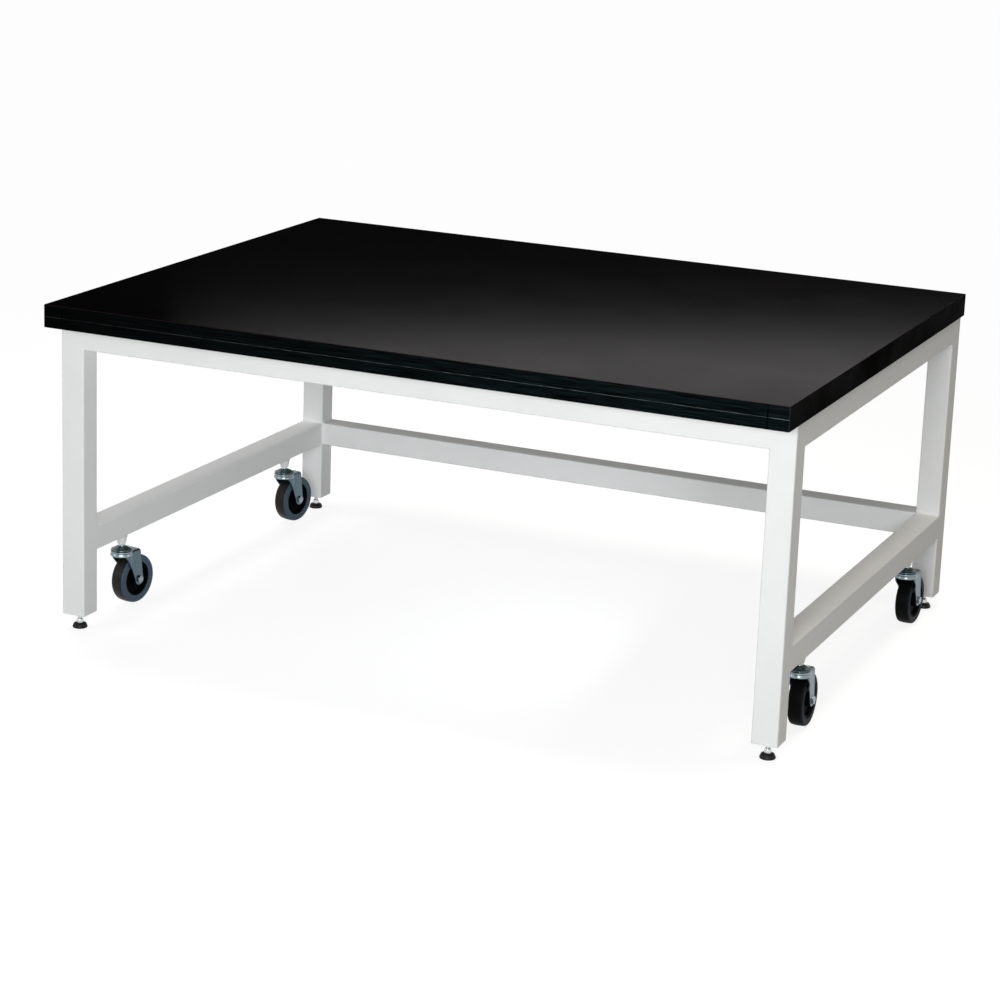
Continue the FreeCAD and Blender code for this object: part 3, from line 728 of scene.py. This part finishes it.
def on_axle(grid, corner, start=0):
    """A grid made round the upright line, laid along a caster's axle from the distance start: its height
    becomes the place along the axle, and its x and y the ways back and up."""
    place, rows, trail, axle_height = caster_frame(corner)
    laid = grid[..., [2, 0, 1]] + np.array([start, trail, axle_height])
    return laid @ rows + place


# The colour is painted shade: darker than the bright zinc, for the shade reflected in the flanks.
axle_zinc = own_finish("axle_zinc", (0.27, 0.30, 0.32), roughness=0.26, grain_size=0.001, relief=0.00001,
                       drift_share=0.08, metallic=1.0)
shank = 2 * fork_half_width + nut_height + bolt_end
shank_outline = [(0, 0), (axle_radius, 0), (axle_radius, shank - bolt_end), (axle_radius - bolt_end, shank),
                 (0, shank)]
head_outline = hex_outline(head_height, 0)[:-2] + [(0, head_height)]
nut_outline = hex_outline(nut_height, axle_radius + nut_clearance)
head_form = hexagonal(divided(head_outline, hex_step), axle_flats) * [1, 1, -1]
shank_form = turned(eased(shank_outline, bore_bevel))
nut_form = hexagonal(divided(nut_outline + nut_outline[:1], hex_step), axle_flats)
for corner in corner_names:
    bolt_shells = [on_axle(form, corner, -fork_half_width) for form in (head_form, shank_form)]
    bolt = make_piece("axle_bolt_and_head_" + corner, bolt_shells, axle_zinc)
    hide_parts("axle_bolt_" + corner)
    nut = make_piece("hexagon_nut_" + corner, [on_axle(nut_form, corner, fork_half_width)], axle_zinc)
    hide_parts("axle_nut_" + corner)
    for piece in (bolt, nut):
        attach(piece, "swivel_" + corner)
sleeve_steel = own_finish("sleeve_steel", (0.50, 0.50, 0.50), roughness=0.32, grain_size=0.0008,
                          relief=0.00001, drift_share=0.08, metallic=1.0)
dress(sleeve_steel, *["axle_sleeve_" + corner for corner in corner_names])


# The hubs: moulded black nylon with a bearing boss, a dished web and a rim that the tyre is moulded on.
# Each turns on its axle's sleeve, a running fit.
hub_bore = 0.00606
hub_boss_radius = 0.010
hub_boss_half = 0.0128
hub_boss_taper = 0.0012
hub_web_half = 0.0055
hub_rim_inner = 0.0254
hub_rim_taper = 0.0015
hub_rim_radius = 0.0284
hub_rim_half = 0.010
hub_ease = 0.001

hub_plastic = own_finish("hub_plastic", (0.0016, 0.0016, 0.0019), roughness=0.42, grain_size=0.0012,
                         relief=0.00003, drift_share=0.2, shine=0.008)
hub_outline = [(hub_bore, -hub_boss_half), (hub_boss_radius, -hub_boss_half),
               (hub_boss_radius + hub_boss_taper, -hub_web_half - hub_boss_taper),
               (hub_rim_inner - hub_rim_taper, -hub_web_half), (hub_rim_inner, -hub_rim_half),
               (hub_rim_radius, -hub_rim_half)]
hub_outline += [(radius, -across) for radius, across in hub_outline[::-1]]
hub_form = turned(eased_ring(hub_outline, hub_ease))
for corner in corner_names:
    hub = make_piece("moulded_hub_" + corner, [on_axle(hub_form, corner)], hub_plastic)
    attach(hub, "wheel_" + corner)
    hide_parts("hub_" + corner)


# The tyres: grey rubber moulded on the hub, with flat sides between two thin raised rings and round
# shoulders. The tread is brown-black and the sides blue-grey; on the right-hand pair both colours are
# painted darker, as painted shade.
tyre_inner = 0.0285
tyre_half = 0.0115
tyre_bore_ring = 0.0009
tyre_bore_ring_foot = 0.0015
tyre_shoulder = 0.0040
tyre_crown_half = 0.0030
tyre_crown_ease = 0.0028
tyre_colour_edge = 0.0026
tyre_colour_fade = 0.0012
tyre_tread_radius = 0.0405
tyre_edge_radius = 0.0398
tyre_ring_width = 0.0059
tyre_ring_slope = 0.0005
tyre_ring_height = 0.0004
tyre_ring_ease = 0.0003
tyre_sides = 128
# The right-hand pair's colours are painted shade: the same rubber, set darker.
tread_colours_with_painted_shade = {"left": (0.0080, 0.0066, 0.0060), "right": (0.0034, 0.0034, 0.0034)}
tyre_side_colours_with_painted_shade = {"left": (0.046, 0.080, 0.118), "right": (0.0085, 0.0125, 0.0165)}
tyre_shines = {"left": 0.16, "right": 0.03}
tread_name = "tread_share"


def tyre_section():
    """Half the tyre's section from bore to middle of the tread, mirrored for the other half."""
    low = tyre_half - tyre_ring_height
    ring_inner = tyre_edge_radius - tyre_ring_width
    half = [(tyre_inner, -tyre_half), (tyre_inner + tyre_bore_ring, -tyre_half),
            (tyre_inner + tyre_bore_ring_foot, -low), (ring_inner - tyre_ring_slope, -low),
            (ring_inner, -tyre_half), (tyre_edge_radius, -tyre_half), (tyre_tread_radius, -tyre_crown_half)]
    other = [(radius, -across) for radius, across in half[::-1]]
    eases = [tyre_ring_ease] * 5 + [tyre_shoulder, tyre_crown_ease]
    return eased_ring(half + other, eases + eases[::-1])


def mixed_colour(tree, share, first, second):
    """A colour that goes from the first to the second with the share. Each is a colour or an output."""
    inputs = {"Factor": share}
    for socket, colour in (("A", first), ("B", second)):
        inputs[socket] = colour if isinstance(colour, bpy.types.NodeSocket) else (*colour, 1)
    return add_node(tree, "Mix", inputs, data_type="RGBA").outputs["Result"]


def recolour(tree, colour):
    """Gives the finish this colour instead of its own tone."""
    tree.links.new(colour, tree.nodes["Principled BSDF"].inputs["Base Color"])


def tyre_finish_with_painted_shade(side):
    """The rubber: side colour and tread colour mixed by the mesh's own tread share. The right-hand pair's
    copy has both colours painted darker, as painted shade.
    """
    material = own_finish("tyre_rubber_shade_per_side_" + side, tyre_side_colours_with_painted_shade[side], roughness=0.46, grain_size=0.0014,
                          relief=0.00005, drift_share=0.10, shine=tyre_shines[side])
    tree = material.node_tree
    share = add_node(tree, "Attribute", {}, attribute_name=tread_name).outputs["Fac"]
    recolour(tree, mixed_colour(tree, share, tree.nodes["tone"].outputs["Color"], tread_colours_with_painted_shade[side]))
    return material


tyre_rubbers_with_painted_shade = {side: tyre_finish_with_painted_shade(side) for side in tyre_side_colours_with_painted_shade}
tyre_form = turned(tyre_section(), sides=tyre_sides)
side_start = tyre_half - tyre_colour_edge
for corner in corner_names:
    rubber = tyre_rubbers_with_painted_shade[corner.split("_")[1]]
    tyre = make_piece("moulded_tyre_" + corner, [on_axle(tyre_form, corner)], rubber)
    spots = np.empty(len(tyre.data.vertices) * 3)
    tyre.data.vertices.foreach_get("co", spots)
    place, rows = caster_frame(corner)[:2]
    aside = np.abs(((spots.reshape(-1, 3) - place) @ rows.T)[:, 0])
    layer = tyre.data.attributes.new(tread_name, "FLOAT", "POINT")
    layer.data.foreach_set("value", 1 - smooth(aside, side_start, side_start + tyre_colour_fade))
    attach(tyre, "wheel_" + corner)
    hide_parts("tyre_" + corner)


# The top's two boards: dense black composite, sanded flat and glued face to face. The screws through the
# upper rails hold them down.
board_black = own_finish("board_black", (0.013, 0.012, 0.011), roughness=0.62, grain_size=0.0016,
                         relief=0.00006, drift_share=0.07)
dress(board_black, "upper_board", "lower_board")


# The edging and the end strips: thin black strip with a drawn wood grain, pressed on in two layers, one on
# each board. A pale line of glue shows where the layers meet, brightest over the end strips. Grain and
# glue fade towards the left end as a painted sheen, and the end strips' outer front corners carry a
# painted highlight.
edging_dark = (0.0012, 0.0014, 0.0013)
edging_light = (0.0080, 0.0160, 0.0175)
edging_shine = 0.001
streak_width = 0.0011
streak_length_share = 0.018
streak_range = (0.42, 0.72)
glue_line_half = 0.00032
glue_gaps_per_metre = 55
glue_gap_range = (0.35, 0.6)
thinnest_glue = 0.25
sheen_left_end_share = 0.12
sheen_full_share = 0.6
glue_colour = (0.105, 0.125, 0.120)
end_glue_colour = (0.180, 0.205, 0.200)
seam_half = 0.0009
seam_colour = (0.0002, 0.0003, 0.0003)
corner_highlight_half = 0.0010
corner_highlight_colour = (0.020, 0.026, 0.026)
end_strip_colour = (0.0012, 0.0012, 0.0011)
face_depth = 0.0002
strip_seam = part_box("right_strip_upper")[0].x
strip_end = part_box("right_strip_upper")[1].x
front_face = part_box("front_edging_lower")[0].y
layer_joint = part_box("front_edging_lower")[1].z


def reckon(tree, operation, *values):
    """The outcome of one sum, where each value is a number or another node's output."""
    return add_node(tree, "Math", dict(enumerate(values)), operation=operation).outputs["Value"]


def edging_finish(name, glue_tone, plain):
    """Grain streaks from a noise drawn out along the strip, and the glue line as a narrow band round the
    height of the joint, both fainter towards the left end: a painted sheen that grows to the right. Narrow
    bands round the same distance from the middle darken the seam beside the end strip and pale the corner
    with a painted highlight. Where plain is the colour of the other faces, all this stays on the front."""
    material = own_finish(name, edging_dark, roughness=0.48, grain_size=streak_width, relief=0.00006,
                          drift_share=0.2, shine=edging_shine, stretch=(streak_length_share, 1, 1))
    tree = material.node_tree
    where = tree.nodes["where"].outputs["Object"]
    axes = add_node(tree, "SeparateXYZ", {"Vector": where}).outputs
    streaks = add_node(tree, "ValToRGB", {"Fac": tree.nodes["grain"].outputs["Fac"]})
    for stop, position, colour in zip(streaks.color_ramp.elements, streak_range, (edging_dark, edging_light)):
        stop.position = position
        stop.color = (*colour, 1)
    # Painted sheen: the streaks and the glue line fade to a small share of their tone towards the left end.
    painted_sheen_rightward = add_node(tree, "MapRange", {"Value": axes["X"], "From Min": -strip_end,
                                            "From Max": strip_end * sheen_full_share,
                                            "To Min": sheen_left_end_share}).outputs["Result"]
    gaps = add_node(tree, "TexNoise", {"Vector": where, "Scale": glue_gaps_per_metre})
    strength = add_node(tree, "MapRange", {"Value": gaps.outputs["Fac"], "From Min": glue_gap_range[0],
                                           "From Max": glue_gap_range[1], "To Min": thinnest_glue})
    near = reckon(tree, "COMPARE", axes["Z"], layer_joint, glue_line_half)
    line = reckon(tree, "MULTIPLY", near, reckon(tree, "MULTIPLY", strength.outputs["Result"], painted_sheen_rightward))
    colour = mixed_colour(tree, painted_sheen_rightward, edging_dark, streaks.outputs["Color"])
    colour = mixed_colour(tree, line, colour, glue_tone)
    aside = reckon(tree, "ABSOLUTE", axes["X"])
    # The dark seam band, and at the ends a pale band that is a painted highlight on the corner.
    for place, half, mark in ((strip_seam, seam_half, seam_colour), (strip_end, corner_highlight_half, corner_highlight_colour)):
        colour = mixed_colour(tree, reckon(tree, "COMPARE", aside, place, half), colour, mark)
    if plain:
        front = reckon(tree, "COMPARE", axes["Y"], front_face, face_depth)
        colour = mixed_colour(tree, front, plain, colour)
    recolour(tree, colour)
    return material


dress(edging_finish("front_edging_grain", glue_colour, None), "front_edging_lower", "front_edging_upper",
      "back_edging")
dress(edging_finish("end_strip_finish", end_glue_colour, end_strip_colour), "left_strip_lower",
      "left_strip_upper", "right_strip_lower", "right_strip_upper")


# The laminate sheet over the whole top: near-black, satin, with a very fine leather grain and its cut
# edge bevelled, where the brown-red core shows as a thin line. It drinks most of the light.
laminate = own_finish("laminate", (0.0010, 0.0008, 0.0009), roughness=0.14, grain_size=0.0007,
                      relief=0.000004, drift_share=0.04, shine=0.00003)
core_colour = (0.022, 0.010, 0.013)
sheet_low, sheet_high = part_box("top_sheet")


def show_core(tree):
    """Mixes the core's colour in where the height is nearer to the sheet's middle than to its two faces."""
    height = add_node(tree, "SeparateXYZ", {"Vector": tree.nodes["where"].outputs["Object"]}).outputs["Z"]
    inside = reckon(tree, "COMPARE", height, (sheet_low.z + sheet_high.z) / 2,
                    (sheet_high.z - sheet_low.z) / 4)
    recolour(tree, mixed_colour(tree, inside, tree.nodes["tone"].outputs["Color"], core_colour))


show_core(laminate.node_tree)
dress(laminate, "top_sheet")


# The screws that hold the top: pan-head wood screws, zinc plated, driven up through the upper rails and
# the lower board into the upper one.
screw_zinc = own_finish("screw_zinc", (0.58, 0.57, 0.52), roughness=0.3, grain_size=0.001, relief=0.00001,
                        drift_share=0.1, metallic=1.0)
dress(screw_zinc, "top_fixing_screws")


# The studio's floor and room: a pale floor that keeps the stand's shadow and fades to white further off,
# under an even, faintly warm room.
floor_reach = 40.0
floor_drop = 0.0003
floor_albedo = 0.60
floor_seen_albedo = 0.30
floor_roughness = 0.9
floor_glow = 0.84
floor_white = 0.985
shadow_reach = (1.0, 2.6)
room_light = 0.10
room_colour = (1.0, 0.98, 0.94)


def seen_share(tree):
    """1 for rays from the camera and for glossy and transmission rays, else 0."""
    path = add_node(tree, "LightPath", {}).outputs
    both = reckon(tree, "MAXIMUM", path["Is Camera Ray"], path["Is Glossy Ray"])
    return reckon(tree, "MAXIMUM", both, path["Is Transmission Ray"])


def floor_finish():
    """A pale matt floor. For the rays that show it, it glows a little and takes the shadow near the stand,
    and is plain white beyond the shadow's reach."""
    material = bpy.data.materials.new("studio_floor")
    material.use_nodes = True
    tree = material.node_tree
    plain = tree.nodes["Principled BSDF"]
    plain.inputs["Base Color"].default_value = (floor_albedo, floor_albedo, floor_albedo, 1)
    plain.inputs["Roughness"].default_value = floor_roughness
    plain.inputs["Specular IOR Level"].default_value = 0.0
    seen = add_node(tree, "BsdfDiffuse", {"Color": (floor_seen_albedo,) * 3 + (1,)})
    glow = add_node(tree, "Emission", {"Strength": floor_glow})
    near = add_node(tree, "AddShader", {0: seen.outputs["BSDF"], 1: glow.outputs["Emission"]})
    white = add_node(tree, "Emission", {"Strength": floor_white})
    where = add_node(tree, "TexCoord", {}).outputs["Object"]
    reach = add_node(tree, "VectorMath", {0: where}, operation="LENGTH").outputs["Value"]
    fade = add_node(tree, "MapRange", {"Value": reach, "From Min": shadow_reach[0],
                                       "From Max": shadow_reach[1]}, interpolation_type="SMOOTHSTEP")
    both = add_node(tree, "MixShader", {"Fac": fade.outputs["Result"], 1: near.outputs["Shader"],
                                        2: white.outputs["Emission"]})
    choose = add_node(tree, "MixShader", {"Fac": seen_share(tree), 1: plain.outputs["BSDF"],
                                          2: both.outputs["Shader"]})
    tree.links.new(choose.outputs["Shader"], tree.nodes["Material Output"].inputs["Surface"])
    return material


floor_mesh = bpy.data.meshes.new("studio_floor")
floor_corners = np.array([[-1, -1, 0], [1, -1, 0], [1, 1, 0], [-1, 1, 0]]) * floor_reach - [0, 0, floor_drop]
floor_mesh.from_pydata(floor_corners.tolist(), [], [(0, 1, 2, 3)])
floor_mesh.materials.append(floor_finish())
studio_floor = bpy.data.objects.new("studio_floor", floor_mesh)
bpy.context.scene.collection.objects.link(studio_floor)

room = bpy.data.worlds.new("studio_room")
room.use_nodes = True
bpy.context.scene.world = room
room_glow = room.node_tree.nodes["Background"]
room_glow.inputs["Color"].default_value = (*room_colour, 1)
strength = add_node(room.node_tree, "MapRange", {"Value": seen_share(room.node_tree), "To Min": room_light,
                                                 "To Max": 1.0})
room.node_tree.links.new(strength.outputs["Result"], room_glow.inputs["Strength"])


# The lamps: a wide soft one in front, weaker ones at the left, the rear and the right for the faces turned
# away, one over each end, a faint one under the top for the left side's inner faces, and a long narrow
# one behind that shines only in the top's gloss.
stand_middle = (0, 0, 0.3)


def soft_lamp(name, place, target, size, power, colour=(1.0, 1.0, 1.0)):
    """An oval area lamp of this width and height at place, turned so that it faces the target."""
    data = bpy.data.lights.new(name, "AREA")
    data.shape = "ELLIPSE"
    data.size, data.size_y = size
    data.energy = power
    data.color = colour
    lamp = bpy.data.objects.new(name, data)
    way = np.array(target, float) - np.array(place, float)
    flat = math.hypot(way[0], way[1])
    lamp.location = place
    lamp.rotation_euler = (math.atan2(flat, -way[2]), 0, math.atan2(way[1], way[0]) - math.pi / 2)
    lamp.visible_camera = False
    bpy.context.scene.collection.objects.link(lamp)
    return lamp


soft_lamp("front_lamp", (1.05, -3.5, 1.15), stand_middle, size=(2.2, 1.1), power=88,
          colour=(0.965, 0.99, 1.0))
soft_lamp("left_lamp", (-2.6, -2.4, 1.2), stand_middle, size=(1.3, 1.3), power=12, colour=(0.95, 0.99, 1.0))
rear_lamp = soft_lamp("rear_lamp", (-2.2, 2.8, 0.5), stand_middle, size=(1.3, 0.8), power=26)
rear_lamp.visible_glossy = False
soft_lamp("left_top_lamp", (-1.0, 0.1, 2.6), (-0.58, 0, 0.17), size=(0.8, 0.8), power=19)
soft_lamp("right_top_lamp", (0.85, 0.1, 2.6), (0.58, 0, 0.17), size=(0.8, 0.8), power=23,
          colour=(1.0, 0.93, 0.82))
soft_lamp("right_lamp", (3.2, 0.4, 1.0), (0.6, 0, 0.3), size=(1.4, 1.4), power=0.8, colour=(1.0, 0.60, 0.15))
soft_lamp("inner_lamp", (0.25, -0.10, 0.27), (-0.6, -0.20, 0.25), size=(0.5, 0.3), power=0.85,
          colour=(0.95, 0.98, 1.0))
gloss_lamp = soft_lamp("gloss_lamp", (-0.10, 2.19, 1.14), (1.2, -0.6, 0.5), size=(3.2, 0.17), power=200,
                       colour=(1.0, 0.96, 0.98))
gloss_lamp.visible_diffuse = False
lit_top = bpy.data.collections.new("lit_top")
lit_top.objects.link(frame["nodes"]["top_sheet"])
gloss_lamp.light_linking.receiver_collection = lit_top


# The camera stands at the photograph's place, in front of the right half and well above the top, and
# looks down and to the left.
camera_place = (1.7342, -4.0076, 1.4468)
camera_turn_degrees = (75.283, -1.902, 24.864)
camera_lens = 101.081
camera_sensor = 36.0
camera_shift = (0.03, -0.06)
camera_data = bpy.data.cameras.new("photo_camera")
camera_data.sensor_width = camera_sensor
camera_data.lens = camera_lens
camera_data.shift_x, camera_data.shift_y = camera_shift
photo_camera = bpy.data.objects.new("photo_camera", camera_data)
photo_camera.location = camera_place
photo_camera.rotation_euler = [math.radians(angle) for angle in camera_turn_degrees]
bpy.context.scene.collection.objects.link(photo_camera)
bpy.context.scene.camera = photo_camera
bpy.context.scene.view_settings.view_transform = "Standard"
